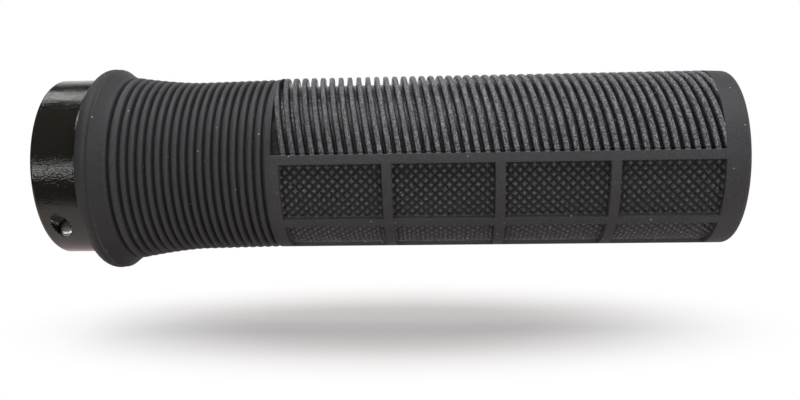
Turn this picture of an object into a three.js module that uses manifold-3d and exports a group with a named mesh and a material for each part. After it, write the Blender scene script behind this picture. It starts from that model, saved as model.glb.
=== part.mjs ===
// Lock-on handlebar grip: a moulded rubber sleeve on a rigid core tube, held on the bar by one split collar
// that an M4 pinch screw closes. Three keys on the core's inner end stand in notches of the collar.
//
// Millimetres. +X runs along the bar from the collar to the outer end and +Z is up. The origin is on the
// bar's axis, in the plane of the collar's free face. Angles about X are degrees from -Y up towards +Z.
// Threads and the fine knurl on the pocket floors are left plain.

import * as THREE from 'three';
import { mergeVertices } from 'three/addons/utils/BufferGeometryUtils.js';
import Module from 'manifold-3d';

// Bar and fits
const barDiameter = 22.2;
const barClearance = 0.05; // radial, before the collar is tightened
const gap = 0.3; // between neighbouring pieces
const overallLength = 130;
const turnOnBar = 8; // how far the whole grip is turned up on its bar

// Split collar
const collarWidth = 8.6;
const collarWall = 6.05;
const collarChamfer = 0.5;
const slotWidth = 1.5;
const slotAngle = -89;

// Pinch screw, M4 with a low head, lying on a chord of the collar
const screwAngle = -78.6; // where the chord passes nearest to the bar
const screwInset = 3.5; // the screw's axis below the collar's outside
const screwAlong = 3.8; // the screw's axis from the collar's free face
const screwLength = 13.2;
const shankDiameter = 3.3;
const holeDiameter = 3.8;
const passDiameter = 4.3; // through the loose jaw, under the head
const tipChamfer = 0.5;
const headDiameter = 5.5;
const headHeight = 2.4;
const headChamfer = 0.3;
const socketAcrossFlats = 2.5;
const socketDepth = 1.4;
const looseJaw = 1.7; // metal between the slot and the seat of the head

// Rigid core
const coreWall = 1.6;
const coreRecess = 0.5; // its outer end stands this far inside the rubber's
const keyAngles = [ 30, 120, 210 ];
const keySpan = 24; // degrees
const keyLength = 3.2;

// Rubber sleeve; lengths along it are counted from its inner end
const rubberWall = 3.55;
const endRound = 1.3;
const endBand = 4.67; // smooth band at the outer end
const flangeHeight = 3.25; // above the plain surface
const flangePeak = 1.95;
const flangeRound = 1.8; // how far its front falls away
const flangeFoot = 5.3; // where its slope reaches the neck
const neckHeight = 1.6; // the neck above the plain surface, fading over neckLength
const neckLength = 13.7;
const flangeSag = 0.65; // how far the flange stands off the bar's axis towards the palm; none is left at the ribs
const firstGroove = 5.94;
const secondGroove = 7.79;
const ringPitch = 1.537;
const ringCount = 18;
const ringGroove = 0.95;
const ringDepth = 1;

// Slanted ribs over the upper half
const ribPitch = 1.756;
const ribDepth = 1.45;
const ribGapTop = 0.92;
const ribGapFoot = 0.62;
const ribPhase = 1.66; // middle of the gap before the first whole rib
const firstGapReach = 2; // that gap is open to the last ring
const ribTwist = 1.45; // advance for each radian round the bar
const ribSweep = 1.45; // further advance for each quarter turn

// Frame and sunk pockets over the lower half
const frameLead = 1.5; // first cross bar, past the last ring
const pocketLength = 18.6;
const pocketRows = 4;
const pocketDepth = 1.25;
const barWidth = 1.85;

// Facets
const roundSides = 28;
const collarSides = 72;
const screwSides = 24;
const ribSteps = 7; // two sides of the sleeve to each step
const cutterMargin = 1.5;

const boreRadius = barDiameter / 2 + barClearance;
const coreRadius = boreRadius + coreWall;
const sleeveBore = coreRadius + gap;
const mainRadius = sleeveBore + rubberWall;
const collarRadius = boreRadius + collarWall;
const screwOffset = collarRadius - screwInset;
const sleeveStart = collarWidth + gap;
const sleeveLength = overallLength - sleeveStart;
const patternStart = secondGroove + ringCount * ringPitch;
const patternEnd = sleeveLength - endBand;
const barSpan = THREE.MathUtils.radToDeg( barWidth / mainRadius );

const rubber = { color: 0x303033, roughness: 0.8, metalness: 0 };
const nylon = { color: 0x18181a, roughness: 0.6, metalness: 0 };
const blackAnodised = { color: 0x1f1d1b, roughness: 0.3, metalness: 0.7 };
const blackSteel = { color: 0x2a2a2b, roughness: 0.4, metalness: 0.9 };

const wasm = await Module();
wasm.setup();

// A closed geometry as a solid that can be joined and cut; triangles that shrink to a line on an axis go
function solid( geometry ) {

	geometry.deleteAttribute( 'normal' );
	geometry.deleteAttribute( 'uv' );
	const merged = mergeVertices( geometry );
	const corners = merged.index.array;
	const kept = [];
	for ( let i = 0; i < corners.length; i += 3 ) {

		const [ a, b, c ] = corners.subarray( i, i + 3 );
		if ( a !== b && b !== c && c !== a ) kept.push( a, b, c );

	}

	return new wasm.Manifold( new wasm.Mesh( {
		numProp: 3,
		vertProperties: merged.attributes.position.array,
		triVerts: new Uint32Array( kept )
	} ) );

}

// Several solids joined into one
function joined( solids ) {

	return solids.reduce( ( whole, next ) => whole.add( next ) );

}

// A named mesh of a solid in its own material
function piece( name, body, finish ) {

	const { vertProperties, triVerts } = body.getMesh();
	const geometry = new THREE.BufferGeometry();
	geometry.setAttribute( 'position', new THREE.BufferAttribute( vertProperties, 3 ) );
	geometry.setIndex( new THREE.BufferAttribute( triVerts, 1 ) );
	geometry.computeVertexNormals();
	const mesh = new THREE.Mesh( geometry, new THREE.MeshStandardMaterial( { ...finish, flatShading: true } ) );
	mesh.name = name;
	return mesh;

}

// A closed profile of [ along, radius ] points turned about the X axis
function turned( profile, sides ) {

	const points = profile.map( ( [ along, radius ] ) => new THREE.Vector2( radius, along ) );
	return solid( new THREE.LatheGeometry( points, sides ).rotateZ( - Math.PI / 2 ) );

}

// A box bent round the X axis; place gives [ along, angle, radius ] for three shares from 0 to 1
function bent( steps, place ) {

	const geometry = new THREE.BoxGeometry( 1, 1, 1, 1, steps, 1 );
	const corners = geometry.attributes.position;
	for ( let i = 0; i < corners.count; i ++ ) {

		const shares = [ corners.getX( i ) + 0.5, corners.getY( i ) + 0.5, corners.getZ( i ) + 0.5 ];
		const [ along, angle, radius ] = place( ...shares );
		const turn = THREE.MathUtils.degToRad( angle );
		corners.setXYZ( i, along, - radius * Math.cos( turn ), radius * Math.sin( turn ) );

	}

	return solid( geometry );

}

// A plain block of the space round the bar, between two places, angles and radii
function sector( [ start, end ], [ low, high ], [ inside, outside ], steps ) {

	const mix = THREE.MathUtils.lerp;
	return bent( steps, ( u, v, w ) => [ mix( start, end, u ), mix( low, high, v ), mix( inside, outside, w ) ] );

}

// Turns a geometry so that its +Z points out from the bar at an angle and its +Y onwards round it
function facing( geometry, angle ) {

	return geometry.rotateX( Math.PI / 2 - THREE.MathUtils.degToRad( angle ) );

}

// A round cutter on the screw's chord, from one distance along it to another
function drill( diameter, from, to ) {

	const geometry = new THREE.CylinderGeometry( diameter / 2, diameter / 2, to - from, screwSides );
	geometry.translate( screwAlong, ( from + to ) / 2, screwOffset );
	return solid( facing( geometry, screwAngle ) );

}

// Where the seat of the screw's head lies along the chord, past the slot and the loose jaw
function seatAlongChord() {

	const lean = THREE.MathUtils.degToRad( slotAngle - screwAngle );
	return screwOffset * Math.tan( lean ) - slotWidth / 2 / Math.cos( lean ) - looseJaw;

}

// Split collar with its slot, screw hole, head seat and the notches for the core's keys
function lockCollar() {

	const c = collarChamfer;
	const ring = turned( [
		[ c / 2, boreRadius ],
		[ 0, boreRadius + c / 2 ],
		[ 0, collarRadius - c ],
		[ c, collarRadius ],
		[ collarWidth - c, collarRadius ],
		[ collarWidth, collarRadius - c ],
		[ collarWidth, boreRadius + c / 2 ],
		[ collarWidth - c / 2, boreRadius ],
		[ c / 2, boreRadius ]
	], collarSides );

	const slot = new THREE.BoxGeometry( collarWidth + 2 * cutterMargin, slotWidth, collarRadius );
	slot.translate( collarWidth / 2, 0, boreRadius - cutterMargin + collarRadius / 2 );

	const seat = seatAlongChord();
	const cuts = [
		solid( facing( slot, slotAngle ) ),
		drill( holeDiameter, seat - cutterMargin, collarRadius ),
		drill( passDiameter, seat - cutterMargin, seat + looseJaw ),
		drill( headDiameter + 2 * gap, - collarRadius, seat )
	];
	const play = THREE.MathUtils.radToDeg( gap / coreRadius );
	for ( const angle of keyAngles ) {

		const reach = keySpan / 2 + play;
		const depth = [ collarWidth - keyLength, collarWidth + cutterMargin ];
		cuts.push( sector( depth, [ angle - reach, angle + reach ], [ boreRadius - cutterMargin, sleeveBore ], 3 ) );

	}

	return ring.subtract( joined( cuts ) );

}

// Low-head screw along +Y, its origin under the head and its socket at the far side
function pinchScrew() {

	const shank = shankDiameter / 2;
	const head = headDiameter / 2;
	const outline = [
		[ 0, - headHeight ],
		[ head - headChamfer, - headHeight ],
		[ head, headChamfer - headHeight ],
		[ head, 0 ],
		[ shank, 0 ],
		[ shank, screwLength - tipChamfer ],
		[ shank - tipChamfer, screwLength ],
		[ 0, screwLength ]
	].map( ( [ radius, along ] ) => new THREE.Vector2( radius, along ) );
	const corner = socketAcrossFlats / Math.sqrt( 3 );
	const socket = new THREE.CylinderGeometry( corner, corner, 2 * socketDepth, 6 ).translate( 0, - headHeight, 0 );
	return solid( new THREE.LatheGeometry( outline, screwSides ) ).subtract( solid( socket ) );

}

// Core tube from the sleeve's inner end outwards, with keys that reach back into the collar
function coreSleeve() {

	const end = sleeveLength - coreRecess;
	const tube = turned( [
		[ - keyLength, boreRadius ],
		[ - keyLength, coreRadius ],
		[ end, coreRadius ],
		[ end, boreRadius ],
		[ - keyLength, boreRadius ]
	], roundSides );
	const cuts = keyAngles.map( ( angle, i ) => {

		const next = i + 1 < keyAngles.length ? keyAngles[ i + 1 ] : keyAngles[ 0 ] + 360;
		const span = [ angle + keySpan / 2, next - keySpan / 2 ];
		return sector( [ - keyLength - cutterMargin, 0 ], span, [ boreRadius - cutterMargin, mainRadius ], 6 );

	} );
	return tube.subtract( joined( cuts ) );

}

// Height of the ring ribs' tips above the plain surface, falling from the neck outwards
function neckRise( along ) {

	const share = THREE.MathUtils.clamp( ( along - flangeFoot ) / neckLength, 0, 1 );
	return neckHeight * Math.pow( 1 - share, 1.5 );

}

// Moves the outside of the flange and the ring ribs off the axis towards the palm; the bore stays
function sagged( body ) {

	return body.warp( ( corner ) => {

		const outer = Math.hypot( corner[ 1 ], corner[ 2 ] ) > ( sleeveBore + mainRadius ) / 2;
		if ( outer ) corner[ 2 ] -= flangeSag * Math.max( 0, 1 - corner[ 0 ] / patternStart );

	} );

}

// Outline of the sleeve from its bore over the flange, the rings, the plain surface and the end's round
function sleeveProfile() {

	const peak = mainRadius + flangeHeight;
	const neck = mainRadius + neckHeight;
	const fall = flangeFoot - flangePeak;
	const slope = new THREE.CubicBezierCurve(
		new THREE.Vector2( flangePeak, peak ),
		new THREE.Vector2( flangePeak + fall / 4, peak ),
		new THREE.Vector2( flangePeak + fall * 0.6, neck + 0.1 * flangeHeight ),
		new THREE.Vector2( flangeFoot, neck )
	);
	const points = [ [ 0, sleeveBore ], [ 0, peak - flangeRound ], [ 0.3 * flangePeak, peak - 0.3 * flangeRound ] ];
	points.push( ...slope.getPoints( 4 ).map( ( { x, y } ) => [ x, y ] ) );

	const grooves = [ firstGroove ];
	for ( let i = 0; i < ringCount; i ++ ) grooves.push( secondGroove + i * ringPitch );
	for ( const middle of grooves ) {

		const left = middle - ringGroove / 2;
		const right = middle + ringGroove / 2;
		points.push( [ left, mainRadius + neckRise( left ) ] );
		points.push( [ middle, mainRadius + neckRise( middle ) - ringDepth ] );
		points.push( [ right, mainRadius + neckRise( right ) ] );

	}

	for ( let i = 0; i <= 3; i ++ ) {

		const turn = i / 3 * Math.PI / 2;
		const along = sleeveLength - endRound * ( 1 - Math.sin( turn ) );
		points.push( [ along, mainRadius - endRound * ( 1 - Math.cos( turn ) ) ] );

	}

	points.push( [ sleeveLength, sleeveBore ], [ 0, sleeveBore ] );
	return points;

}

// How far a slanted rib has moved back along the sleeve at an angle: steeper near the frame than on top
function ribShift( angle ) {

	const turn = THREE.MathUtils.degToRad( angle );
	const sweep = angle < 90 ? Math.sin( turn ) : 2 - Math.sin( turn );
	return ribTwist * turn + ribSweep * sweep;

}

// The gaps between the slanted ribs, kept inside the upper half of the pattern
function ribGaps() {

	const low = barSpan / 2;
	const high = 180 - low;
	const floor = mainRadius - ribDepth;
	const top = mainRadius + cutterMargin;
	const flare = ( ribGapTop - ribGapFoot ) / ribDepth;
	const count = Math.ceil( ( patternEnd - patternStart + ribShift( high ) ) / ribPitch ) + 1;
	const gaps = [];
	for ( let i = 0; i < count; i ++ ) {

		const middle = patternStart + ribPhase + i * ribPitch;
		gaps.push( bent( ribSteps, ( u, v, w ) => {

			const angle = 180 * v;
			const radius = THREE.MathUtils.lerp( floor, top, w );
			const width = ribGapFoot + flare * ( radius - floor );
			const reach = i === 0 ? firstGapReach * ( 1 - u ) : 0;
			return [ middle - ribShift( angle ) + width * ( u - 0.5 ) - reach, angle, radius ];

		} ) );

	}

	const reach = [ floor - cutterMargin, top + cutterMargin ];
	return joined( gaps ).intersect( sector( [ patternStart, patternEnd ], [ low, high ], reach, ribSteps ) );

}

// The sunk pockets of the lower half, in columns along the sleeve and rows round it
function pockets() {

	const rowPitch = 180 / pocketRows;
	const depth = [ mainRadius - pocketDepth, mainRadius + cutterMargin ];
	const cuts = [];
	let start = patternStart + frameLead;
	while ( start < patternEnd - barWidth ) {

		const end = Math.min( start + pocketLength, patternEnd );
		for ( let row = 0; row < pocketRows; row ++ ) {

			const high = - row * rowPitch - barSpan / 2;
			cuts.push( sector( [ start, end ], [ high - rowPitch + barSpan, high ], depth, 4 ) );

		}

		start += pocketLength + barWidth;

	}

	return joined( cuts );

}

// Rubber sleeve: flange, ring ribs, slanted ribs above and a frame of sunk pockets below
function gripSleeve() {

	return sagged( turned( sleeveProfile(), roundSides ) ).subtract( ribGaps() ).subtract( pockets() );

}

const collar = piece( 'lock_collar', lockCollar(), blackAnodised );

const core = piece( 'core_sleeve', coreSleeve(), nylon );
core.position.x = sleeveStart;

const sleeve = piece( 'grip_sleeve', gripSleeve(), rubber );
sleeve.position.x = sleeveStart;

const screw = piece( 'pinch_screw', pinchScrew(), blackSteel );
screw.position.set( screwAlong, seatAlongChord() - gap, screwOffset );

const chord = new THREE.Group();
chord.rotation.x = Math.PI / 2 - THREE.MathUtils.degToRad( screwAngle );
chord.add( screw );

const group = new THREE.Group();
group.rotation.x = - THREE.MathUtils.degToRad( turnOnBar );
group.add( collar, core, sleeve, chord );

export default group;
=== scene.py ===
"""Lock-on handlebar grip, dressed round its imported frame.

The rubber sleeve, its core tube, the split collar and the pinch screw are worked out as numpy grids in
metres, in the frame's own axes: +X along the bar from the collar to the outer end, +Z up. Angles round the
bar are counted from -Y up towards +Z.
"""

import math

import bpy
import numpy as np
from mathutils import Matrix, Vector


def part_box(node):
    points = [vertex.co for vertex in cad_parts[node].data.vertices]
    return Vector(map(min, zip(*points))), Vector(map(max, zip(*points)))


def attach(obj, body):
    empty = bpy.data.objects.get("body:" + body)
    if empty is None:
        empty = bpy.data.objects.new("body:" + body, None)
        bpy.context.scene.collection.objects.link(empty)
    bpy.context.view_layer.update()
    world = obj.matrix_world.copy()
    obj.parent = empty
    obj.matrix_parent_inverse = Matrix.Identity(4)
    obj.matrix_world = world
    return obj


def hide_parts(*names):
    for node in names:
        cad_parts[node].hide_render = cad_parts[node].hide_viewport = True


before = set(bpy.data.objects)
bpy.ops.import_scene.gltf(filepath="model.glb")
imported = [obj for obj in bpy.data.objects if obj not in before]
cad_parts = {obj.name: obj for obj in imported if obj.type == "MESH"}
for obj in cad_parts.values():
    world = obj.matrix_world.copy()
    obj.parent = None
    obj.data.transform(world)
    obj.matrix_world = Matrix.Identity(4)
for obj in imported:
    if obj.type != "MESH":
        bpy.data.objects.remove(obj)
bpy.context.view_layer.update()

bl_info = {
    "name": "Lock-on Handlebar Grip",
    "version": (1, 0, 0),
    "blender": (4, 5, 0),
    "location": "3D View > Sidebar > Grip",
    "description": "Builds a clamp-on rubber handlebar grip round its packed frame",
    "category": "Add Mesh",
}

MM = 0.001
BODY = "root"
MIX = {"data_type": "RGBA"}
WHITE = (1.0, 1.0, 1.0, 1.0)
DULL_BLACK = (0.004, 0.004, 0.0035, 1.0)
THREAD_SIDES = 40
SEEN = ("Is Camera Ray", "Is Glossy Ray", "Is Transmission Ray")

# Points that the lamps look at
MIDDLE = (0.065, 0.0, 0.0)
COLLAR_TOP = (0.004, -0.009, 0.014)
FIRST_RIBS = (0.051, -0.01, 0.011)

# Name, level in the stage's sizes, width and depth, place, target, and shape where it is no rectangle
LAMPS = (
    ("back_strip", "back_level", (0.16, 0.03), (-0.21, 0.172, 0.44), COLLAR_TOP),
    ("back_fill", "fill_level", (0.25, 0.25), (-0.1, 0.2, 0.4), MIDDLE, "ELLIPSE", False),
    ("top_card", "card_level", (0.045, 0.12), (-0.02, 0.0, 0.45), FIRST_RIBS),
    ("overhead", "top_level", (0.7, 0.3), (0.14, -0.12, 0.48), MIDDLE),
    ("key", "key_level", (0.16, 0.1), (0.1, -0.2, 0.45), MIDDLE, "ELLIPSE"),
    ("front_strip", "front_level", (1.0, 0.022), (0.065, -0.45, 0.012), MIDDLE),
    ("side_card", "side_level", (0.45, 0.45), (0.5, -0.03, 0.36), MIDDLE),
)


def length(name, default, description):
    """A length in metres that a user can change."""
    return bpy.props.FloatProperty(name=name, description=description, default=default, min=0.0,
                                   precision=5, subtype="DISTANCE", unit="LENGTH")


def angle(name, degrees, description):
    """An angle that a user can change, given in degrees and kept in radians."""
    return bpy.props.FloatProperty(name=name, description=description, default=math.radians(degrees),
                                   subtype="ANGLE", unit="ROTATION")


def colour(name, default, description):
    """A linear colour that a user can change."""
    return bpy.props.FloatVectorProperty(name=name, description=description, default=default, size=3,
                                         min=0.0, max=1.0, subtype="COLOR")


def whole(name, default, description):
    """A whole number from 1 that a user can change."""
    return bpy.props.IntProperty(name=name, description=description, default=default, min=1)


def number(name, default, description, low=0.0, high=1000.0):
    """A plain number that a user can change."""
    return bpy.props.FloatProperty(name=name, description=description, default=default, min=low, max=high)


class BarFit(bpy.types.PropertyGroup):
    """Where the pieces lie along and round the bar."""

    bore_radius: length("Bore radius", 11.15 * MM, "Inside of the collar and of the core tube")
    core_wall: length("Core wall", 1.6 * MM, "Thickness of the rigid tube under the rubber")
    gap: length("Gap", 0.3 * MM, "Clearance between neighbouring pieces")
    turn: angle("Turn on the bar", 8.0, "How far the whole grip is turned up on its bar")


class SleeveSizes(bpy.types.PropertyGroup):
    """Flange, ring ribs and plain surface of the rubber sleeve. Lengths along it start at its inner end."""

    plain_radius: length("Plain radius", 16.6 * MM, "Frame bars and end band")
    end_round: length("End round", 1.3 * MM, "Rounding of the outer end")
    end_band: length("End band", 4.67 * MM, "Smooth band at the outer end")
    flange_height: length("Flange height", 3.25 * MM, "Flange above the plain surface")
    flange_peak: length("Flange peak", 1.95 * MM, "Where the flange is highest")
    flange_round: length("Flange round", 1.8 * MM, "How far the flange's front falls away")
    flange_foot: length("Flange foot", 5.3 * MM, "Where the flange's slope reaches the neck")
    neck_height: length("Neck height", 1.6 * MM, "First ring ribs above the plain surface")
    neck_length: length("Neck length", 13.7 * MM, "Length over which the neck fades")
    flange_sag: length("Flange sag", 0.65 * MM, "How far the flange is off the bar's axis towards the palm")
    flange_valley: length("Flange valley", 0.2 * MM, "Depth of the shallow valley past the flange's peak")
    first_groove: length("First groove", 5.94 * MM, "Middle of the groove behind the flange")
    second_groove: length("Second groove", 7.79 * MM, "Middle of the first evenly spaced groove")
    ring_pitch: length("Ring pitch", 1.537 * MM, "Spacing of the ring ribs")
    ring_count: whole("Ring ribs", 18, "Evenly spaced ring grooves")
    ring_depth: length("Ring depth", 1.05 * MM, "Depth of the ring grooves")
    ring_dome: length("Ring dome", 0.1 * MM, "How far a ring rib falls from its middle to its edges")


class RibSizes(bpy.types.PropertyGroup):
    """Slanted ribs over the upper half."""

    pitch: length("Pitch", 1.756 * MM, "Spacing of the slanted ribs along the bar")
    depth: length("Depth", 1.45 * MM, "Depth of the gaps between them")
    rise: length("Rise", 0.15 * MM, "How far their tips stand above the frame bars")
    foot_half: length("Half gap at the foot", 0.32 * MM, "Half the width of a gap at its floor")
    waist_half: length("Half gap under the tip", 0.43 * MM, "Half the width of a gap below the rounded tips")
    tip_round: length("Tip round", 0.28 * MM, "Rounding of the tips")
    shoulder: length("Shoulder", 0.3 * MM, "Rounding of the frame's edge where the gaps end")
    phase: length("Phase", 1.66 * MM, "Middle of the gap before the first whole rib, past the last ring")
    open_start: length("Open start", 2.0 * MM, "That gap is open to the last ring")
    twist: length("Twist", 1.45 * MM, "Advance along the bar for each radian round it")
    sweep: length("Sweep", 1.45 * MM, "Further advance for each quarter turn")


class PocketSizes(bpy.types.PropertyGroup):
    """Frame of sunk pockets over the lower half, and the knurl on their floors."""

    lead: length("Lead", 1.5 * MM, "First cross bar, past the last ring")
    pocket_length: length("Pocket length", 18.6 * MM, "Opening of a pocket along the bar")
    rows: whole("Rows", 4, "Rows of pockets round the lower half")
    depth: length("Depth", 1.55 * MM, "Pocket floor below the frame")
    bar_width: length("Bar width", 1.85 * MM, "Width of the frame's bars")
    edge_round: length("Edge round", 0.14 * MM, "Softened rim of a pocket")
    knurl_pitch: length("Knurl pitch", 1.72 * MM, "Length of a diamond of the knurl")
    knurl_rise: length("Knurl rise", 1.95 * MM, "Height of a diamond of the knurl, round the bar")
    knurl_height: length("Knurl height", 0.75 * MM, "Pyramids of the knurl above its grooves")


class CollarSizes(bpy.types.PropertyGroup):
    """Split collar."""

    radius: length("Radius", 17.2 * MM, "Outside of the collar")
    chamfer: length("Chamfer", 0.5 * MM, "Bevel of both outer edges")
    slot_width: length("Slot width", 1.5 * MM, "Width of the split")
    slot_angle: angle("Slot angle", -89.0, "Place of the split round the bar")
    key_span: angle("Key span", 24.0, "Width of each of the core's keys")
    key_length: length("Key length", 3.2 * MM, "Reach of the core's keys into the collar")


class ScrewSizes(bpy.types.PropertyGroup):
    """M4 pinch screw with a low head."""

    angle: angle("Screw angle", -78.6, "Where the screw passes nearest to the bar")
    inset: length("Screw inset", 3.5 * MM, "The screw's axis below the collar's outside")
    along: length("Along", 3.8 * MM, "The screw's axis from the collar's free face")
    shank_length: length("Shank length", 13.2 * MM, "Length under the head")
    radius: length("Thread radius", 1.9 * MM, "Crests of the thread")
    root: length("Root radius", 1.55 * MM, "Roots of the thread")
    pitch: length("Thread pitch", 0.7 * MM, "Advance of the thread in one turn")
    play: length("Thread play", 0.08 * MM, "Clearance between the screw and its thread in the collar")
    pass_radius: length("Pass radius", 2.15 * MM, "Hole through the loose jaw")
    head_radius: length("Head radius", 2.75 * MM, "Outside of the head")
    head_height: length("Head height", 2.4 * MM, "Height of the head")
    socket: length("Socket", 2.5 * MM, "Hexagon socket across its flats")
    socket_depth: length("Socket depth", 1.4 * MM, "Depth of the socket")
    jaw: length("Loose jaw", 1.7 * MM, "Metal between the slot and the head's seat")


class FinishColours(bpy.types.PropertyGroup):
    """Colours of the finishes, linear."""

    rubber: colour("Rubber", (0.037, 0.037, 0.0405), "Moulded rubber")
    dust: colour("Dust", (0.7, 0.7, 0.7), "Dust on the rubber")
    core: colour("Core", (0.012, 0.012, 0.013), "Nylon of the core tube")
    collar: colour("Collar", (0.016, 0.015, 0.012), "Gloss black of the collar")
    steel: colour("Steel", (0.5, 0.49, 0.48), "Screw")
    floor: colour("Floor", (0.6, 0.53, 0.52), "Floor under the grip")


class StageSizes(bpy.types.PropertyGroup):
    """Camera, floor and lamps; white is 1 in a brightness."""

    camera_along: length("Camera along the bar", 76.35 * MM, "Camera's foot, from the collar's free face")
    distance: length("Distance", 167.7 * MM, "Camera to the bar's axis")
    elevation: angle("Elevation", 6.0, "Camera above the bar's axis")
    yaw: angle("Yaw", -3.07, "Turn of the view to the left, seen from above")
    pitch: angle("Pitch", -2.605, "Tilt of the view, from the line to the bar's axis")
    roll: angle("Roll", -0.85, "Turn of the picture")
    focal: length("Focal length", 37.99 * MM, "For a picture 36 mm wide")
    shift: number("Shift", -0.0033, "Sideways shift of the picture", -1.0, 1.0)
    floor_drop: length("Floor drop", 34.6 * MM, "Floor below the bar's axis")
    ambient: number("Ambient", 0.125, "Light from all round")
    back_level: number("Back strip", 16.0, "Strip above and behind the collar")
    fill_level: number("Back fill", 6.0, "Soft light from the back")
    card_level: number("Top card", 32.0, "Small card above the first ribs")
    top_level: number("Overhead", 2.0, "Soft lamp straight above")
    key_level: number("Key lamp", 8.0, "Small lamp above and before the grip")
    front_level: number("Front strip", 13.0, "Strip before the grip")
    side_level: number("Side card", 1.2, "Card beyond the outer end")


def ring_point(along, turn, radius):
    """Points round the bar: X is along, and (Y, Z) is radius times (-cos turn, sin turn)."""
    along, turn, radius = np.broadcast_arrays(along, turn, radius)
    return np.stack([along, -radius * np.cos(turn), radius * np.sin(turn)], axis=-1)


def facing(points, turn):
    """Points of a frame whose +Z looks out from the bar at an angle and whose +Y goes onwards round it."""
    out = np.array([0.0, -math.cos(turn), math.sin(turn)])
    onwards = np.array([0.0, math.sin(turn), math.cos(turn)])
    across = np.array([1.0, 0.0, 0.0])
    return points @ np.stack([across, onwards, out])


def grid_faces(rows, columns, rows_close):
    """Quads between neighbouring points of a grid whose columns close; its rows close where told."""
    row = np.arange(rows if rows_close else rows - 1)[:, None]
    column = np.arange(columns)[None, :]
    next_row = (row + 1) % rows
    next_column = (column + 1) % columns
    corners = [row * columns + column, row * columns + next_column,
               next_row * columns + next_column, next_row * columns + column]
    return np.stack(corners, axis=-1).reshape(-1, 4)


def new_piece(name, points, faces):
    """An object in the scene with a mesh of these points and faces."""
    mesh = bpy.data.meshes.new(name)
    mesh.from_pydata(points.reshape(-1, 3).tolist(), [], faces)
    mesh.update()
    piece = bpy.data.objects.new(name, mesh)
    bpy.context.scene.collection.objects.link(piece)
    return piece


def ring_piece(name, points):
    """A closed ring: rows go round the bar and close, columns go round the section and close."""
    rows, columns = points.shape[:2]
    return new_piece(name, points, grid_faces(rows, columns, True).tolist())


def rod_pieces(name, points):
    """Closed rods, one for each first index: rows go along a rod, columns round it, and its ends are shut."""
    count, rows, columns = points.shape[:3]
    sides = grid_faces(rows, columns, False)
    start = np.arange(columns)[::-1]
    end = np.arange(columns) + (rows - 1) * columns
    faces = []
    for first in np.arange(count) * rows * columns:
        faces += (sides + first).tolist() + [(start + first).tolist(), (end + first).tolist()]
    return new_piece(name, points, faces)


def cut(piece, cutter, operation="DIFFERENCE"):
    """Takes a cutter out of a piece, or keeps what both share, and removes the cutter."""
    modifier = piece.modifiers.new("cut", "BOOLEAN")
    modifier.object = cutter
    modifier.operation = operation
    modifier.solver = "MANIFOLD"
    result = piece.evaluated_get(bpy.context.evaluated_depsgraph_get())
    mesh = bpy.data.meshes.new_from_object(result)
    piece.modifiers.clear()
    piece.data = mesh
    bpy.data.objects.remove(cutter)
    return piece


def smooth(piece, degrees):
    """Smooth shading, with edges sharper than the angle kept as edges."""
    mesh = piece.data
    mesh.polygons.foreach_set("use_smooth", np.ones(len(mesh.polygons), bool))
    mesh.set_sharp_from_angle(angle=math.radians(degrees))


def dress(piece, node, material):
    """The piece stands for a node, rides on the body and carries its finish."""
    piece.data.materials.clear()
    piece.data.materials.append(material)
    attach(piece, BODY)
    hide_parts(node)


def turned(name, along, radius, sides):
    """A closed section of points along the bar and their radii, carried round the bar."""
    turn = np.linspace(0.0, 2.0 * math.pi, sides, endpoint=False)[:, None]
    return ring_piece(name, ring_point(along[None, :], turn, radius[None, :]))


def sector(name, along, turns, radii, steps):
    """A block of the space round the bar between two places, two angles and two radii."""
    turn = np.linspace(turns[0], turns[1], steps)[:, None]
    section_along = np.array([along[0], along[1], along[1], along[0]])
    section_radius = np.array([radii[1], radii[1], radii[0], radii[0]])
    points = ring_point(section_along[None, :], turn, section_radius[None, :])
    return rod_pieces(name, points[None])


class Places:
    """Where things lie, from the frame's boxes and the sizes in the sidebar."""

    def __init__(self, scene):
        fit, sleeve = scene.grip_fit, scene.grip_sleeve
        self.collar_start, self.collar_end = (corner.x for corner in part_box("lock_collar"))
        self.collar_middle = (self.collar_start + self.collar_end) / 2
        self.sleeve_start, self.sleeve_end = (corner.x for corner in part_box("grip_sleeve"))
        self.core_start, self.core_end = (corner.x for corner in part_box("core_sleeve"))
        self.core_radius = fit.bore_radius + fit.core_wall
        self.sleeve_bore = self.core_radius + fit.gap
        self.pattern_start = self.sleeve_start + sleeve.second_groove + sleeve.ring_count * sleeve.ring_pitch
        self.pattern_end = self.sleeve_end - sleeve.end_band
        self.bar_span = scene.grip_pockets.bar_width / sleeve.plain_radius
        self.keys = np.radians([30.0, 120.0, 210.0]) + fit.turn


def neck_rise(sleeve, along):
    """Height of the ring ribs' tips over the plain surface: neck height times (1 - share) ** 1.5."""
    share = np.clip((along - sleeve.flange_foot) / sleeve.neck_length, 0.0, 1.0)
    return sleeve.neck_height * (1.0 - share) ** 1.5


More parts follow.
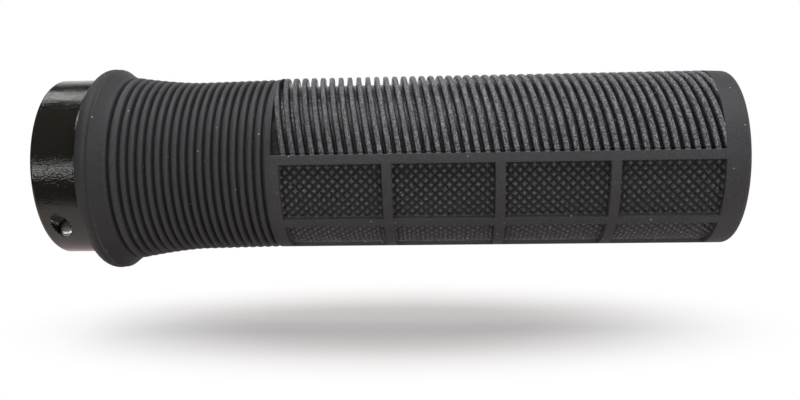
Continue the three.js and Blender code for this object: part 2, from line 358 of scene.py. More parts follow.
def sleeve_section(places, sleeve):
    """Outline of the sleeve, along the bar and outwards: flange, ring ribs, plain part, round end and bore.

    The valley is a bell curve less 0.8 of another. Widths at the ring grooves are shares of the ring pitch.
    """
    peak = sleeve.plain_radius + sleeve.flange_height
    neck = sleeve.plain_radius + sleeve.neck_height
    lip_turn = np.radians(np.linspace(0.0, 90.0, 10))
    lip_along = sleeve.flange_peak * (1.0 - np.cos(lip_turn))
    lip_radius = peak - sleeve.flange_round * (1.0 - np.sin(lip_turn))

    t = np.linspace(0.0, 1.0, 20)[1:]
    slope_along = sleeve.flange_peak + (sleeve.flange_foot - sleeve.flange_peak) * t
    valley = np.exp(-((t - 0.14) / 0.09) ** 2) - 0.8 * np.exp(-((t - 0.32) / 0.1) ** 2)
    slope_radius = neck + (peak - neck) * np.cos(t * math.pi / 2) ** 1.35 - sleeve.flange_valley * valley

    ring_end = sleeve.second_groove + sleeve.ring_count * sleeve.ring_pitch
    grooves = sleeve.second_groove + sleeve.ring_pitch * np.arange(sleeve.ring_count)
    grooves = np.concatenate([[sleeve.first_groove], grooves])
    lobe = np.array([-0.5, -0.38, -0.29, -0.24, -0.2, -0.15, -0.09, 0.09, 0.15, 0.2, 0.24, 0.29, 0.38])
    ring_along = (grooves[:, None] + sleeve.ring_pitch * lobe[None, :]).ravel()
    ring_along = ring_along[ring_along > sleeve.flange_foot + 0.02 * MM]
    away = np.abs(ring_along[:, None] - grooves[None, :]).min(axis=1) / sleeve.ring_pitch
    groove_half, wall_width, rib_half = 0.26, 0.17, 0.26
    wall = np.clip((groove_half - away) / wall_width, 0.0, 1.0)
    sink = wall * wall * (3.0 - 2.0 * wall)
    dome = np.clip((0.5 - away) / rib_half, 0.0, 1.0) ** 2
    ring_radius = sleeve.plain_radius + neck_rise(sleeve, ring_along)
    ring_radius = ring_radius - sleeve.ring_depth * sink - sleeve.ring_dome * dome

    end = places.sleeve_end - places.sleeve_start
    round_turn = np.linspace(0.0, math.pi / 2, 8)
    end_along = end - sleeve.end_round * (1.0 - np.sin(round_turn))
    end_radius = sleeve.plain_radius - sleeve.end_round * (1.0 - np.cos(round_turn))

    plain_along = np.array([ring_end - 0.35 * MM, ring_end - 0.05 * MM, end - sleeve.end_band])
    plain_radius = np.full(3, sleeve.plain_radius)
    bore_along = np.array([end, 0.0])
    bore_radius = np.full(2, places.sleeve_bore)
    along = np.concatenate([lip_along, slope_along, ring_along, plain_along, end_along, bore_along])
    radius = np.concatenate([lip_radius, slope_radius, ring_radius, plain_radius, end_radius, bore_radius])
    return places.sleeve_start + along, radius


def sleeve_body(places, sleeve, ribs, turn_on_bar):
    """The section carried round the bar; over the upper half the plain part stands higher by the ribs' rise.

    From the flange to the ribs the outside moves towards the palm by the sag times (1 - share of the way).
    """
    along, radius = sleeve_section(places, sleeve)
    turn = np.linspace(0.0, 2.0 * math.pi, 120, endpoint=False)[:, None]
    own = np.mod(turn + places.bar_span, 2.0 * math.pi) - places.bar_span
    edge = np.minimum(own, math.pi - own) / places.bar_span
    upper = np.clip(edge - 0.5, 0.0, 1.0)
    inside = (along >= places.pattern_start - 0.1 * MM) & (along <= places.pattern_end)
    inside = inside & (radius > places.sleeve_bore)
    radii = radius[None, :] + ribs.rise * upper * inside[None, :]
    points = ring_point(along[None, :], turn + turn_on_bar, radii)
    share = (along - places.sleeve_start) / (places.pattern_start - places.sleeve_start)
    sag = sleeve.flange_sag * np.clip(1.0 - share, 0.0, 1.0) * (radius > places.sleeve_bore)
    palm = ring_point(0.0, turn_on_bar - math.pi / 2, 1.0)
    return ring_piece("rubber_sleeve", points + sag[None, :, None] * palm)


def rib_shift(ribs, turn):
    """How far a rib has moved back at an angle: twist * angle + sweep * sine, counted on past the top."""
    sweep = np.where(turn < math.pi / 2, np.sin(turn), 2.0 - np.sin(turn))
    return ribs.twist * turn + ribs.sweep * sweep


def rib_gap_section(ribs, tip):
    """Section of a gap, as offsets from its middle and radii: narrow floor, leaning sides, round edges."""
    floor = tip - ribs.rise - ribs.depth
    arc = np.radians(np.linspace(0.0, 76.0, 5))
    half = ribs.waist_half + ribs.tip_round * (1.0 - np.cos(arc))
    radius = tip - ribs.tip_round * (1.0 - np.sin(arc)) + 0.01 * MM
    half = np.concatenate([[ribs.foot_half - 0.1 * MM, ribs.foot_half], half, [ribs.pitch / 2 - 0.05 * MM]])
    radius = np.concatenate([[floor, floor + 0.1 * MM], radius, [tip + 1.0 * MM]])
    return np.concatenate([half[::-1], -half]), np.concatenate([radius[::-1], radius])


def rib_gaps(places, sleeve, ribs, turn_on_bar):
    """All gaps between the slanted ribs, each section carried round the upper half, kept inside the pattern.

    The zone that keeps them inside widens near the surface, which rounds the frame's edge in every gap.
    """
    low = places.bar_span / 2
    high = math.pi - low
    tip = sleeve.plain_radius + ribs.rise
    reach = places.pattern_end - places.pattern_start + rib_shift(ribs, np.array(high))
    count = int(math.ceil(reach / ribs.pitch)) + 1
    middle = places.pattern_start + ribs.phase + ribs.pitch * np.arange(count)
    overlap = 0.05
    turn = np.linspace(low - overlap, high + overlap, 34)
    half, radius = rib_gap_section(ribs, tip)
    opened = (half < 0)[None, None, :] & (np.arange(count) == 0)[:, None, None]
    offset = half[None, None, :] - ribs.open_start * opened
    along = middle[:, None, None] - rib_shift(ribs, turn)[None, :, None] + offset
    points = ring_point(along, turn[None, :, None] + turn_on_bar, radius[None, None, :])
    gaps = rod_pieces("rib_gaps", points)
    arc = np.radians(np.array([90.0, 60.0, 30.0, 0.0]))
    flare = ribs.shoulder * np.concatenate([[1.0], 1.0 - np.cos(arc), [0.0]])
    level = sleeve.plain_radius - ribs.shoulder * (1.0 - np.sin(arc))
    level = np.concatenate([[tip + 3.0 * MM], level, [tip - 3.0 * MM]])
    ends = np.concatenate([[places.pattern_start], np.full(len(level), places.pattern_end),
                           np.full(len(level) - 1, places.pattern_start)])
    level = np.concatenate([level[:1], level, level[:0:-1]])
    flare = np.concatenate([flare[:1], flare, flare[:0:-1]])
    share = np.linspace(-1.0, 1.0, 90)[:, None]
    middle_turn, half_turn = turn_on_bar + math.pi / 2, (high - low) / 2
    turn = middle_turn + share * (half_turn + flare[None, :] / sleeve.plain_radius)
    zone = rod_pieces("zone", ring_point(ends[None, :], turn, level[None, :])[None])
    return cut(gaps, zone, "INTERSECT")


def knurl(pockets, column, row):
    """Pyramids, four grid steps to a diamond: height * (1 - the higher of two triangle waves).

    One wave runs along (column + row) / 4 and the other along (column - row) / 4.
    """
    first, second = (column + row) / 4.0, (column - row) / 4.0
    groove = np.maximum(np.abs(first - np.floor(first) - 0.5), np.abs(second - np.floor(second) - 0.5)) * 2.0
    return pockets.knurl_height * (1.0 - groove)


def pocket_cutter(places, sleeve, pockets, start, end, high, span):
    """A block with a knurled floor and flared rim: its closed outline is carried from the floor outwards."""
    surface = sleeve.plain_radius
    floor = surface - pockets.depth
    columns = int(round((end - start) / pockets.knurl_pitch * 4)) + 1
    rows = int(round(span * surface / pockets.knurl_rise * 4)) + 1
    u = np.linspace(0.0, 1.0, columns)
    v = np.linspace(0.0, 1.0, rows)
    along = start + (end - start) * u[None, :] + 0.0 * v[:, None]
    turn = high - span + span * v[:, None] + 0.0 * u[None, :]
    height = knurl(pockets, np.arange(columns)[None, :], np.arange(rows)[:, None])
    bottom = ring_point(along, turn, floor + height)

    edge = np.concatenate([np.arange(columns), np.arange(1, rows) * columns + columns - 1,
                           np.arange(columns - 2, -1, -1) + (rows - 1) * columns,
                           np.arange(rows - 2, 0, -1) * columns])
    edge_along = along.ravel()[edge]
    edge_turn = turn.ravel()[edge]
    out_along = np.where(edge_along <= start, -1.0, np.where(edge_along >= end, 1.0, 0.0))
    out_turn = np.where(edge_turn <= high - span, -1.0, np.where(edge_turn >= high, 1.0, 0.0))
    arc = np.radians(np.array([0.0, 25.0, 50.0, 75.0]))
    flare = np.concatenate([pockets.edge_round * (1.0 - np.cos(arc)), [pockets.edge_round]])
    level = np.concatenate([surface - pockets.edge_round * (1.0 - np.sin(arc)), [surface + 3.0 * MM]])
    walls = ring_point(edge_along[None, :] + out_along[None, :] * flare[:, None],
                       edge_turn[None, :] + out_turn[None, :] * flare[:, None] / surface, level[:, None])
    points = np.concatenate([bottom.reshape(-1, 3), walls.reshape(-1, 3)])

    row = np.arange(rows - 1)[:, None]
    column = np.arange(columns - 1)[None, :]
    corner = row * columns + column
    even = ((row + column) % 2 == 0).ravel()
    a, b, c, d = (shift.ravel() for shift in (corner, corner + columns, corner + columns + 1, corner + 1))
    floor_faces = np.concatenate([np.stack([a, b, np.where(even, c, d)], axis=-1),
                                  np.stack([np.where(even, a, b), c, d], axis=-1)])
    above = bottom.size // 3 + np.arange(walls.size // 3).reshape(len(level), -1)
    rings = np.concatenate([edge[None, :], above])
    near, far = rings[:-1], rings[1:]
    wall_faces = np.stack([near, np.roll(near, -1, axis=1), np.roll(far, -1, axis=1), far], axis=-1)
    return points, floor_faces.tolist() + wall_faces.reshape(-1, 4).tolist() + [rings[-1].tolist()]


def pocket_cutters(places, sleeve, pockets, turn_on_bar):
    """All pockets of the lower half as one object."""
    row_pitch = math.pi / pockets.rows
    points, faces, first = [], [], 0
    start = places.pattern_start + pockets.lead
    while start < places.pattern_end - pockets.bar_width:
        end = min(start + pockets.pocket_length, places.pattern_end)
        for row in range(pockets.rows):
            high = turn_on_bar - row * row_pitch - places.bar_span / 2
            block, block_faces = pocket_cutter(places, sleeve, pockets, start, end, high,
                                               row_pitch - places.bar_span)
            points.append(block)
            faces += [[corner + first for corner in face] for face in block_faces]
            first += len(block)
        start += pockets.pocket_length + pockets.bar_width
    return new_piece("pockets", np.concatenate(points), faces)


def screw_rod(name, places, collar, screw, turn_on_bar, points):
    """A closed rod of local points, +Y towards the screw's tip, put on the screw's chord of the collar."""
    moved = points + np.array([places.collar_start + screw.along, 0.0, collar.radius - screw.inset])
    return rod_pieces(name, facing(moved, screw.angle + turn_on_bar)[None])


def seat_along(collar, screw):
    """The head's seat along the chord: past the slot and the loose jaw."""
    lean = collar.slot_angle - screw.angle
    offset = (collar.radius - screw.inset) * math.tan(lean)
    return offset - collar.slot_width / 2 / math.cos(lean) - screw.jaw


def rod(along, radius, sides):
    """A turned rod along local +Y: columns go round it, each row has its place and radius."""
    turn = np.linspace(0.0, 2.0 * math.pi, sides, endpoint=False)
    along, radius, turn = np.broadcast_arrays(along[:, None], radius.reshape(len(along), -1), turn[None, :])
    return np.stack([radius * np.cos(turn), along, -radius * np.sin(turn)], axis=-1)


def thread(screw, start, end, extra):
    """Threaded rod: the radius goes from root to crest and back in each pitch, and turns with the angle."""
    steps = int(math.ceil((end - start) / screw.pitch * 8)) + 1
    along = np.linspace(start, end, steps)
    turn = np.linspace(0.0, 1.0, THREAD_SIDES, endpoint=False)
    phase = along[:, None] / screw.pitch - turn[None, :]
    wave = 1.0 - np.abs(2.0 * (phase - np.floor(phase)) - 1.0)
    radius = screw.root + extra + (screw.radius - screw.root) * np.clip(wave * 1.3 - 0.1, 0.0, 1.0)
    return along, radius


def collar_cutters(places, fit, collar, screw):
    """Slot, threaded hole, pass hole, head seat and key notches, one object each."""
    turn_on_bar = fit.turn
    seat = seat_along(collar, screw)
    seat_end = seat + screw.jaw
    along, radius = thread(screw, seat_end, collar.radius, screw.play)
    cutters = [screw_rod("thread", places, collar, screw, turn_on_bar, rod(along, radius, THREAD_SIDES))]
    for start, end, size in ((seat - 1.0 * MM, seat_end + 0.5 * MM, screw.pass_radius),
                             (-collar.radius, seat, screw.head_radius + fit.gap)):
        drill = rod(np.array([start, end]), np.array([size, size]), 48)
        cutters.append(screw_rod("drill", places, collar, screw, turn_on_bar, drill))
    half = collar.slot_width / 2
    wide = places.collar_end - places.collar_start
    x = np.array([-wide, wide, wide, -wide]) + places.collar_middle
    y = np.array([-half, -half, half, half])
    inner = fit.bore_radius - 1.5 * MM
    low, high = inner, collar.radius + 3.0 * MM
    slot = np.stack([np.stack([x, y, np.full(4, z)], axis=-1) for z in (low, high)])
    cutters.append(rod_pieces("slot", facing(slot, collar.slot_angle + turn_on_bar)[None]))
    play = fit.gap / places.core_radius
    for key in places.keys:
        turns = (key - collar.key_span / 2 - play, key + collar.key_span / 2 + play)
        cutters.append(sector("notch", (places.collar_end - collar.key_length, places.collar_end + 1.0 * MM),
                              turns, (inner, places.sleeve_bore), 12))
    return cutters


class Value:
    """A socket of a finish's tree; arithmetic on it adds Math nodes."""

    def __init__(self, finish, socket):
        self.finish = finish
        self.socket = socket

    def math(self, operation, first, second=0.0):
        inputs = {0: first, 1: second}
        return self.finish.add("ShaderNodeMath", {"operation": operation}, inputs)

    def __add__(self, other):
        return self.math("ADD", self, other)

    __radd__ = __add__

    def __mul__(self, other):
        return self.math("MULTIPLY", self, other)

    __rmul__ = __mul__

    def __sub__(self, other):
        return self.math("SUBTRACT", self, other)

    def __rsub__(self, other):
        return self.math("SUBTRACT", other, self)

    def __truediv__(self, other):
        return self.math("DIVIDE", self, other)

    def __pow__(self, other):
        return self.math("POWER", self, other)

    def above(self, other):
        return self.math("GREATER_THAN", self, other)

    def below(self, other):
        return self.math("LESS_THAN", self, other)


class Finish:
    """A material or world whose nodes come from one method."""

    def __init__(self, owner):
        self.owner = owner
        owner.use_nodes = True
        self.tree = owner.node_tree
        self.tree.nodes.clear()

    def add(self, kind, settings=None, inputs=None, output=0):
        """Adds a node: settings are set first, then each input gets its number, its colour or its link."""
        node = self.tree.nodes.new(kind)
        for key, value in (settings or {}).items():
            setattr(node, key, value)
        for key, value in (inputs or {}).items():
            if isinstance(value, Value):
                self.tree.links.new(value.socket, node.inputs[key])
            else:
                node.inputs[key].default_value = value
        return Value(self, node.outputs[output]) if node.outputs else None

    def place(self):
        """The point on the piece, in metres."""
        return self.add("ShaderNodeTexCoord", output="Object")

    def axes(self):
        """Its three coordinates."""
        return [self.add("ShaderNodeSeparateXYZ", None, {0: self.place()}, output=axis) for axis in "XYZ"]

    def rays(self):
        """1 for a look of the camera, of a reflection and of a transparent piece, each on its own."""
        return [self.add("ShaderNodeLightPath", output=ray) for ray in SEEN]

    def noise(self, scale, detail=3.0, roughness=0.6):
        """Noise from 0 to 1 with grains of one metre over the scale."""
        inputs = {"Vector": self.place(), "Scale": scale, "Detail": detail, "Roughness": roughness}
        return self.add("ShaderNodeTexNoise", None, inputs)

    def ramp(self, value, low, high):
        """0 below low and 1 above high, smooth between."""
        inputs = {"Value": value, "From Min": low, "From Max": high}
        return self.add("ShaderNodeMapRange", {"interpolation_type": "SMOOTHSTEP"}, inputs)

    def mix(self, share, first, second):
        """Colours mixed by a share."""
        inputs = {"Factor": share, 6: first, 7: second}
        return self.add("ShaderNodeMix", MIX, inputs, output=2)

    def bump(self, height, strength, distance):
        """A surface normal for fine relief."""
        inputs = {"Height": height, "Strength": strength, "Distance": distance}
        return self.add("ShaderNodeBump", None, inputs)

    def surface(self, inputs):
        """Ends the tree with a Principled surface."""
        shader = self.add("ShaderNodeBsdfPrincipled", None, inputs)
        self.add("ShaderNodeOutputMaterial", None, {"Surface": shader})
        return self.owner


def rgba(shade, gain=1.0):
    """A colour property as four numbers, made lighter or darker by a gain."""
    return (shade[0] * gain, shade[1] * gain, shade[2] * gain, 1.0)


def new_finish(name):
    """A new material with an empty tree."""
    return Finish(bpy.data.materials.new(name))


def rubber_zones(finish, places, sleeve, fit):
    """Shares of the rubber's parts, each 0 to 1.

    They come from the distance to the bar's axis and from the lift, the height over the turned grip's middle.
    """
    along, across, height = finish.axes()
    radial = (across * across + height * height) ** 0.5
    lift = across * math.sin(fit.turn) + height * math.cos(fit.turn)
    surface = sleeve.plain_radius
    wall_foot, slope_foot = surface - 0.8 * MM, surface - 1.3 * MM
    inside = along.above(places.pattern_start) * along.below(places.pattern_end)
    ribbed = inside * lift.above(0.9 * MM)
    tips = ribbed * finish.ramp(radial, wall_foot, surface - 0.1 * MM)
    knurled = (inside - ribbed) * radial.below(wall_foot)
    return {
        "tips": tips,
        "gaps": ribbed - tips,
        # Knurl points, for a painted highlight
        "points": knurled * finish.ramp(radial, slope_foot, surface - 0.95 * MM),
        # Deep parts of the pattern, for painted shade
        "painted_shade_hollows": inside * (1.0 - finish.ramp(radial, surface - 1.6 * MM, slope_foot)),
        # Band along the frame's upper edge, for a painted highlight
        "edge": inside * lift.above(0.8 * MM) * lift.below(0.99 * MM) * radial.above(surface - 0.4 * MM),
        # Rib ends beside the frame's upper edge, for painted shade
        "painted_shade_rib_ends": ribbed * lift.above(1.02 * MM) * lift.below(1.28 * MM),
        # The flecks grow towards the outer end
        "fleck_growth": finish.ramp(along, 40.0 * MM, 70.0 * MM) * 0.6 + 0.4,
        "flange": along.below(places.sleeve_start + sleeve.flange_foot + 0.1 * MM),
        "rings": along.below(places.pattern_start),
    }


def dust_specks(finish, colours, tone):
    """Specks of dust over a tone: a small dot in some cells of a random mosaic, each of its own grey."""
    cells = {"Vector": finish.place(), "Scale": 900.0}
    near = finish.add("ShaderNodeTexVoronoi", None, cells)
    chance = finish.add("ShaderNodeTexVoronoi", None, cells, output="Color")
    pick = finish.add("ShaderNodeSeparateColor", None, {0: chance})
    shine = finish.add("ShaderNodeSeparateColor", None, {0: chance}, output=1)
    dust = finish.mix(shine, rgba(colours.dust, 0.35), rgba(colours.dust))
    speck_radius, bare_share = 0.11, 0.87
    return finish.mix(near.below(speck_radius) * pick.above(bare_share), tone, dust)


def rubber_finish(colours, places, sleeve, fit):
    """Moulded rubber with a fine grain.

    Rib tips are rough and grainy and a little lighter, a painted highlight. Light flecks of grain and
    scuffing, mostly on the tips and more towards the outer end, also stand in as painted sparkle. Their gaps
    are smoother, with painted shade. The knurl has painted highlights on its points and painted shade in its
    grooves, and the frame's upper edge has a painted highlight beside painted shade on the rib ends. The
    flange and the rings are a little darker.
    """
    finish = new_finish("moulded_rubber")
    zones = rubber_zones(finish, places, sleeve, fit)
    coarse = finish.noise(2900.0, 3.0, 0.75)
    fine = finish.noise(5200.0, 2.0)
    cloud = finish.noise(110.0, 2.0)
    flecks_and_sparkle = zones["tips"] * zones["fleck_growth"] + zones["points"] * 0.5 + 0.08
    tone = finish.mix(finish.ramp(fine, 0.3, 0.7), rgba(colours.rubber, 0.8), rgba(colours.rubber, 1.2))
    for share, gain in (
        (finish.ramp(cloud, 0.35, 0.7) * 0.4, 1.3),
        # Painted highlight: the knurl's points lighter, the rib tips a little lighter
        (zones["tips"] * 0.1 + zones["points"] * 0.6, 2.4),
        # Painted shade in the knurl's grooves and in the gaps between the slanted ribs
        (zones["painted_shade_hollows"] * 0.7 + zones["gaps"] * 0.4, 0.2),
        # Light flecks of grain and scuffing, which also stand in as painted sparkle
        (finish.ramp(coarse, 0.45, 0.6) * flecks_and_sparkle, 7.4),
        # Painted shade on the rib ends beside the frame's upper edge
        (zones["painted_shade_rib_ends"] * 0.8, 0.2),
        (zones["flange"] * 0.26 + zones["rings"] * 0.12, 0.2),
        # Painted highlight along the frame's upper edge
        (zones["edge"] * 0.6, 5.0),
    ):
        tone = finish.mix(share, tone, rgba(colours.rubber, gain))
    relief = coarse * (zones["tips"] - zones["gaps"] * 0.18 + 0.25)
    return finish.surface({
        "Base Color": dust_specks(finish, colours, tone),
        "Roughness": finish.ramp(coarse, 0.3, 0.7) * 0.15 + 0.5 - zones["gaps"] * 0.37 - zones["tips"] * 0.08,
        "Specular IOR Level": 0.45,
        "Normal": finish.bump(fine * 0.4 + relief, 1.0, 0.00022),
    })


def grained_finish(name, shade, grain, shades, rough, relief, more):
    """A finish with one fine grain, which varies its colour, its roughness and its relief.

    The pairs are the grain's scale and detail, its darkest and lightest shade as gains, the least roughness
    and its spread, and the strength and depth of the relief. The last value holds further inputs.
    """
    finish = new_finish(name)
    height = finish.noise(*grain)
    return finish.surface({"Base Color": finish.mix(height, rgba(shade, shades[0]), rgba(shade, shades[1])),
                           "Roughness": height * rough[1] + rough[0],
                           "Normal": finish.bump(height, *relief), **more})


def core_finish(colours):
    """Glass-filled nylon with a faint mottle."""
    return grained_finish("core_nylon", colours.core, (1500.0, 3.0), (0.7, 1.4), (0.45, 0.2),
                          (0.2, 0.05 * MM), {})


def collar_finish(colours):
    """Gloss black over blasted metal: dark, clear reflections that break up into sparkles."""
    return grained_finish("gloss_black_collar", colours.collar, (2900.0, 1.5), (0.8, 1.2), (0.045, 0.05),
                          (0.9, 0.07 * MM), {"Specular IOR Level": 0.6})


def steel_finish(colours):
    """Dark bright steel of the screw."""
    return grained_finish("screw_steel", colours.steel, (1800.0, 3.0), (0.8, 1.2), (0.22, 0.2),
                          (0.15, 0.03 * MM), {"Metallic": 1.0})


def floor_finish(colours):
    """Pale floor that turns plain white away from the grip, so it has no horizon and keeps its shadow.

    Along and across the bar the patch in shadow has a middle and a half size; its share is the floor's own.
    """
    finish = new_finish("pale_floor")
    middle, half, share = (0.064, 0.0045), (0.072, 0.0305), 0.62
    along, away = ((axis - at) / size for axis, at, size in zip(finish.axes(), middle, half))
    far = (along * along + away * away) ** 0.5
    plain = 1.0 - (1.0 - finish.ramp(far, 0.3, 1.2)) * share
    camera, glossy, through = finish.rays()
    seen = camera * plain + (glossy + through) * finish.ramp(far, 2.0, 5.0)
    lit = finish.add("ShaderNodeBsdfDiffuse", None, {"Color": rgba(colours.floor)})
    white = finish.add("ShaderNodeEmission", None, {"Color": WHITE, "Strength": 1.0})
    shader = finish.add("ShaderNodeMixShader", None, {0: seen, 1: lit, 2: white})
    finish.add("ShaderNodeOutputMaterial", None, {"Surface": shader})
    return finish.owner


def card_finish():
    """Dull black of a card that only reflections see."""
    finish = new_finish("dull_black_card")
    shader = finish.add("ShaderNodeBsdfDiffuse", None, {"Color": DULL_BLACK})
    finish.add("ShaderNodeOutputMaterial", None, {"Surface": shader})
    return finish.owner


def pale_world(stage):
    """White where the camera or a reflection looks, and soft light from all round."""
    world = bpy.data.worlds.new("pale_world")
    bpy.context.scene.world = world
    finish = Finish(world)
    camera, glossy, through = finish.rays()
    strength = (camera + glossy + through) * (1.0 - stage.ambient) + stage.ambient
    back = finish.add("ShaderNodeBackground", None, {"Color": WHITE, "Strength": strength})
    finish.add("ShaderNodeOutputWorld", None, {"Surface": back})


def dark_tent(stage):
    """A dull black vault that only reflections see, open at the floor under the grip and low behind it."""
    front_turn, back_turn = -4.0, 146.0
    turn = np.radians(np.linspace(front_turn, back_turn, 36))
    reach, near = 0.5, 0.046
    low = -stage.floor_drop + 0.2 * MM
    y = np.concatenate([[-near, -near - 0.001], -reach * np.cos(turn)])
    z = np.concatenate([[low, low], np.maximum(reach * np.sin(turn), low)])
    x = np.array([-0.9, 1.03])
    points = np.stack(np.broadcast_arrays(x[:, None], y[None, :], z[None, :]), axis=-1)
    count = len(y)
    start = np.arange(count - 1)
    walls = np.stack([start, start + 1, start + 1 + count, start + count], axis=-1).tolist()
    caps = [np.arange(count).tolist(), (np.arange(count)[::-1] + count).tolist()]
    tent = new_piece("dark_tent", points, walls + caps)
    tent.data.materials.append(card_finish())
    tent.visible_camera = tent.visible_diffuse = tent.visible_shadow = tent.visible_transmission = False


def put(thing, axes):
    """Puts a thing in the scene: the rows of axes are its own right, up and back, and its place."""
    bpy.context.scene.collection.objects.link(thing)
    thing.matrix_world = Matrix([[*row] for row in np.stack(axes).T] + [[0.0, 0.0, 0.0, 1.0]])
    return thing


def lamp(name, level, size, place, target, shape="RECTANGLE", mirrored=True):
    """A soft lamp of a level of brightness, white being 1, that looks from its place at a target."""
    light = bpy.data.lights.new(name, "AREA")
    light.shape = shape
    light.size, light.size_y = size
    light.energy = level * math.pi * size[0] * size[1] * (math.pi / 4 if shape == "ELLIPSE" else 1.0)
    back = np.array(place) - np.array(target)
    back /= np.linalg.norm(back)
    across = np.array([1.0, 0.0, 0.0]) - back[0] * back
    across /= np.linalg.norm(across)
    source = put(bpy.data.objects.new(name, light), [across, np.cross(back, across), back, place])
    source.visible_glossy = mirrored


def photo_camera(stage):
    """The camera on its arc round the bar, turned by yaw, pitch and roll from the line to the bar's axis."""
    look = np.array([math.sin(stage.yaw) * math.cos(stage.pitch), math.cos(stage.yaw) * math.cos(stage.pitch),
                     math.sin(stage.pitch)])
    right = np.cross(look, [0.0, 0.0, 1.0])
    right /= np.linalg.norm(right)
    up = np.cross(right, look)
    c, s = math.cos(stage.roll), math.sin(stage.roll)
    axes = np.stack([c * right + s * up, c * up - s * right, -look, [0.0, -stage.distance, 0.0]])
    c, s = math.cos(-stage.elevation), math.sin(-stage.elevation)
    axes = axes @ np.array([[1.0, 0.0, 0.0], [0.0, c, s], [0.0, -s, c]])
    axes[3, 0] = stage.camera_along
    data = bpy.data.cameras.new("photo_camera")
    data.sensor_width = 36.0
    data.lens = stage.focal / MM
    data.shift_x = stage.shift
    data.clip_start = 0.01
    bpy.context.scene.camera = put(bpy.data.objects.new("photo_camera", data), axes)


class GRIP_OT_stage(bpy.types.Operator):
    """Makes the camera, the floor, the world and the lamps"""

    bl_idname = "grip.stage"
    bl_label = "Stage"

    def execute(self, context):
        scene = context.scene
        stage = scene.grip_stage
        photo_camera(stage)
        pale_world(stage)
        corners = 2.0 * np.array([[-1.0, -1.0], [1.0, -1.0], [1.0, 1.0], [-1.0, 1.0]])
        points = np.column_stack([corners, np.full(4, -stage.floor_drop)])
        floor = new_piece("floor", points, [[0, 1, 2, 3]])
        floor.data.materials.append(floor_finish(scene.grip_colours))
        dark_tent(stage)
        for name, level, *rest in LAMPS:
            lamp(name, getattr(stage, level), *rest)
        scene.view_settings.view_transform = "Standard"
        return {"FINISHED"}


class GRIP_OT_sleeve(bpy.types.Operator):
    """Makes the rubber sleeve with its flange, rings, slanted ribs and knurled pockets"""

    bl_idname = "grip.sleeve"
    bl_label = "Rubber sleeve"

    def execute(self, context):
        scene = context.scene
        places = Places(scene)
        turn = scene.grip_fit.turn
        sleeve, ribs, pockets = scene.grip_sleeve, scene.grip_ribs, scene.grip_pockets
        body = sleeve_body(places, sleeve, ribs, turn)
        cut(body, rib_gaps(places, sleeve, ribs, turn))
        cut(body, pocket_cutters(places, sleeve, pockets, turn))
        smooth(body, 32.0)
        rubber = rubber_finish(scene.grip_colours, places, sleeve, scene.grip_fit)
        dress(body, "grip_sleeve", rubber)
        return {"FINISHED"}


class GRIP_OT_core(bpy.types.Operator):
    """Makes the rigid tube under the rubber, with its keys"""

    bl_idname = "grip.core"
    bl_label = "Core tube"

    def execute(self, context):
        scene = context.scene
        places, fit = Places(scene), scene.grip_fit
        bevel = 0.15 * MM
        start, end = places.core_start, places.core_end
        low, high = fit.bore_radius, places.core_radius
        along = np.array([start, start + bevel, end - bevel, end, end, end - bevel, start + bevel, start])
        radius = np.array([high - bevel, high, high, high - bevel, low + bevel, low, low, low + bevel])
        core = turned("core_tube", along, radius, sides=128)
        half = scene.grip_collar.key_span / 2
        past = 1.0 * MM
        for key, onward in zip(places.keys, np.append(places.keys[1:], places.keys[0] + 2 * math.pi)):
            cut(core, sector("between_keys", (start - past, places.sleeve_start), (key + half, onward - half),
                             (low - past, high + past), 24))
        smooth(core, 32.0)
        dress(core, "core_sleeve", core_finish(scene.grip_colours))
        return {"FINISHED"}


class GRIP_OT_collar(bpy.types.Operator):
    """Makes the split collar with its slot, threaded hole and head seat"""

    bl_idname = "grip.collar"
    bl_label = "Split collar"

    def execute(self, context):
        scene = context.scene
        places, fit, collar = Places(scene), scene.grip_fit, scene.grip_collar
        low, high = places.collar_start, places.collar_end
        bore, outside = fit.bore_radius, collar.radius
        bevel, inner, knee = collar.chamfer, collar.chamfer / 2, 0.3 * collar.chamfer
        along = np.array([low, low, low + knee, low + bevel, high - bevel, high - knee, high, high,
                          high - inner, low + inner])
        radius = np.array([bore + inner, outside - bevel, outside - knee, outside, outside, outside - knee,
                           outside - bevel, bore + inner, bore, bore])
        ring = turned("clamp_collar", along, radius, sides=192)
        for cutter in collar_cutters(places, fit, collar, scene.grip_screw):
            cut(ring, cutter)
        smooth(ring, 20.0)
        dress(ring, "lock_collar", collar_finish(scene.grip_colours))
        return {"FINISHED"}


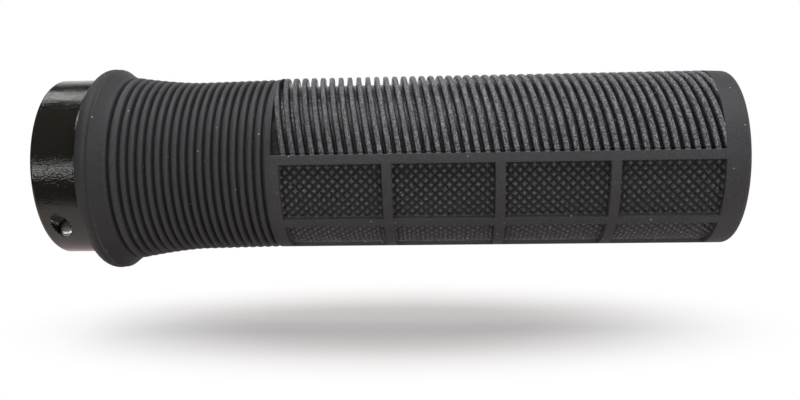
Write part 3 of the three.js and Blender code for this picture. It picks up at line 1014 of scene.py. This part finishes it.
class GRIP_OT_screw(bpy.types.Operator):
    """Makes the threaded pinch screw with its hexagon socket"""

    bl_idname = "grip.screw"
    bl_label = "Pinch screw"

    def execute(self, context):
        scene = context.scene
        places, fit, collar, screw = Places(scene), scene.grip_fit, scene.grip_collar, scene.grip_screw
        seat = seat_along(collar, screw) - fit.gap
        head = screw.head_radius
        bevel = 0.3 * MM
        head_along = seat + np.array([-screw.head_height, -screw.head_height + bevel, -0.05 * MM, 0.0, 0.0])
        head_radius = np.array([head - bevel, head, head, head - 0.05 * MM, screw.root])
        tip = seat + screw.shank_length
        along, radius = thread(screw, seat + 0.3 * MM, tip, 0.0)
        dome, blunt = 0.75 * MM, screw.root * 0.62
        past = np.clip((along - tip + dome) / dome, 0.0, 1.0)
        limit = blunt + (screw.radius - blunt) * np.sqrt(np.clip(1.0 - past ** 2, 0.0, 1.0))
        radius = np.minimum(radius, limit[:, None])
        rows = np.concatenate([np.repeat(head_radius[:, None], THREAD_SIDES, axis=1), radius])
        points = rod(np.concatenate([head_along, along]), rows, THREAD_SIDES)
        piece = screw_rod("screw", places, collar, screw, fit.turn, points)
        corner = screw.socket / math.sqrt(3.0)
        bottom = seat - screw.head_height + screw.socket_depth
        socket = rod(np.array([seat - screw.head_height - 1.0 * MM, bottom, bottom + corner * 0.4]),
                     np.array([corner, corner, corner * 0.1]), 6)
        cut(piece, screw_rod("socket", places, collar, screw, fit.turn, socket))
        smooth(piece, 35.0)
        dress(piece, "pinch_screw", steel_finish(scene.grip_colours))
        return {"FINISHED"}


OPERATORS = (GRIP_OT_stage, GRIP_OT_sleeve, GRIP_OT_core, GRIP_OT_collar, GRIP_OT_screw)
GROUPS = {
    "grip_fit": BarFit,
    "grip_sleeve": SleeveSizes,
    "grip_ribs": RibSizes,
    "grip_pockets": PocketSizes,
    "grip_collar": CollarSizes,
    "grip_screw": ScrewSizes,
    "grip_colours": FinishColours,
    "grip_stage": StageSizes,
}


class GRIP_PT_panel(bpy.types.Panel):
    """Lists the steps and the sizes"""

    bl_label = "Handlebar grip"
    bl_idname = "GRIP_PT_panel"
    bl_space_type = "VIEW_3D"
    bl_region_type = "UI"
    bl_category = "Grip"

    def draw(self, context):
        for operator in OPERATORS:
            self.layout.operator(operator.bl_idname)
        for name, group in GROUPS.items():
            box = self.layout.box()
            box.label(text=group.__name__)
            for prop in group.__annotations__:
                box.prop(getattr(context.scene, name), prop)


def register():
    for name, group in GROUPS.items():
        bpy.utils.register_class(group)
        setattr(bpy.types.Scene, name, bpy.props.PointerProperty(type=group))
    for operator in OPERATORS:
        bpy.utils.register_class(operator)
    bpy.utils.register_class(GRIP_PT_panel)


def unregister():
    bpy.utils.unregister_class(GRIP_PT_panel)
    for operator in reversed(OPERATORS):
        bpy.utils.unregister_class(operator)
    for name, group in GROUPS.items():
        delattr(bpy.types.Scene, name)
        bpy.utils.unregister_class(group)


def main():
    register()
    bpy.ops.grip.stage()
    bpy.ops.grip.sleeve()
    bpy.ops.grip.core()
    bpy.ops.grip.collar()
    bpy.ops.grip.screw()


if __name__ == "__main__":
    main()
